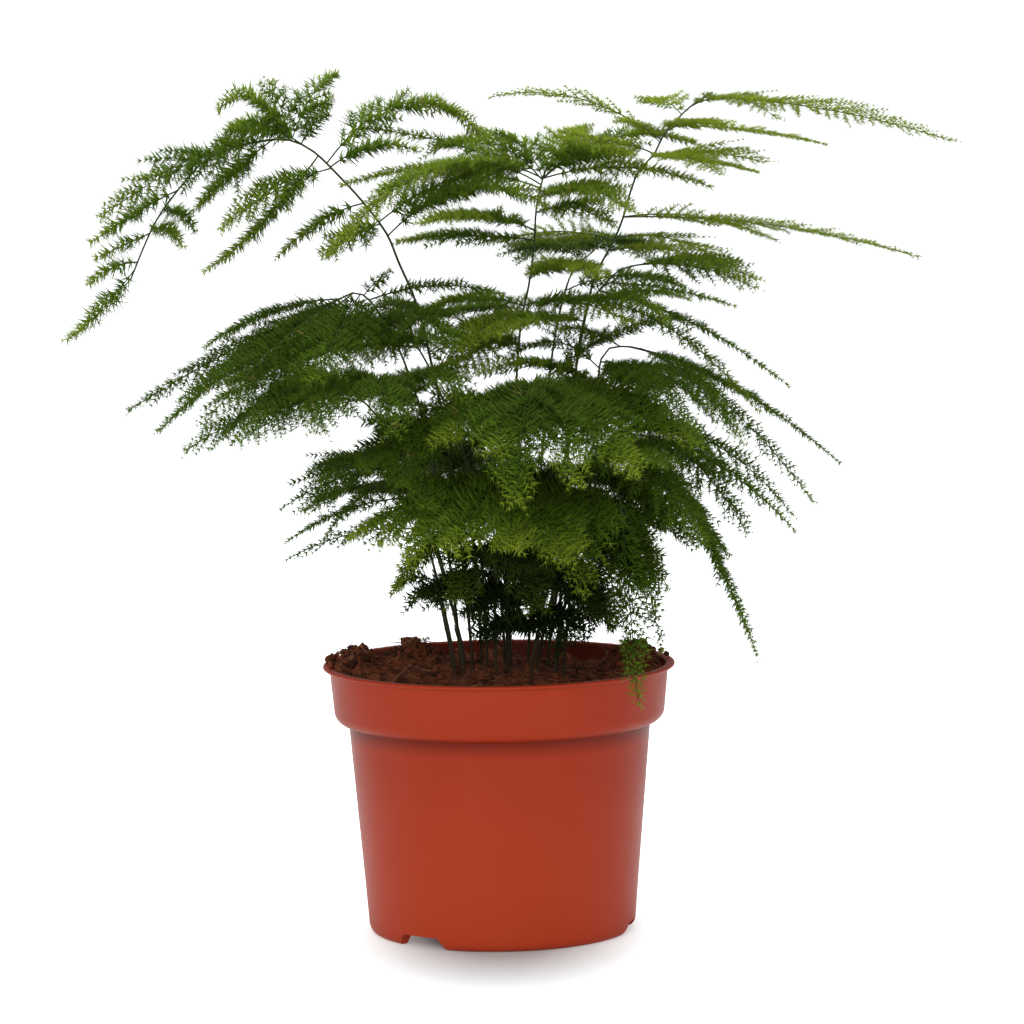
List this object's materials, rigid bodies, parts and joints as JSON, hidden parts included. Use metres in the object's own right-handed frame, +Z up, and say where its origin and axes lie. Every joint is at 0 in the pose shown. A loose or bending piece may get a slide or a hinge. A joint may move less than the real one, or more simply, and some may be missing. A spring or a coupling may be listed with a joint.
{
  "type": "potted asparagus fern",
  "caption": "Feathery asparagus fern in a tapered nursery pot: wiry stems that rise from the soil and carry flat, arching plumes of fine needles.",
  "frame": {"origin": "middle of the underside of the pot's foot, on the surface that the pot stands on", "axes": "+Z up; +X to the right and +Y away from the viewer in the pictured view"},
  "size_m": [0.2966, 0.2365, 0.2924],
  "materials": {
    "pot": "satin moulded terracotta-coloured plastic",
    "soil": "rough, damp coir and peat with bark and pale fibres",
    "fern": "living green stems and needles, yellow-green at the young tips, brown and wiry at the base"
  },
  "bodies": {
    "root": {"pot": "pot", "soil": "soil", "stem_back_left_high": "fern", "stem_back_left_low": "fern", "stem_back_low": "fern", "stem_back_right_high": "fern", "stem_back_right_low": "fern", "stem_back_right_mid": "fern", "stem_front_high": "fern", "stem_front_low": "fern", "stem_front_right": "fern", "stem_inner_left": "fern", "stem_inner_right": "fern", "stem_left_high": "fern", "stem_left_low": "fern", "stem_left_mid": "fern", "stem_left_sprout": "fern", "stem_middle": "fern", "stem_right_arch": "fern", "stem_right_low": "fern", "stem_right_mid": "fern", "stem_upper_left": "fern", "stem_upper_right": "fern"}
  },
  "joints": []
}
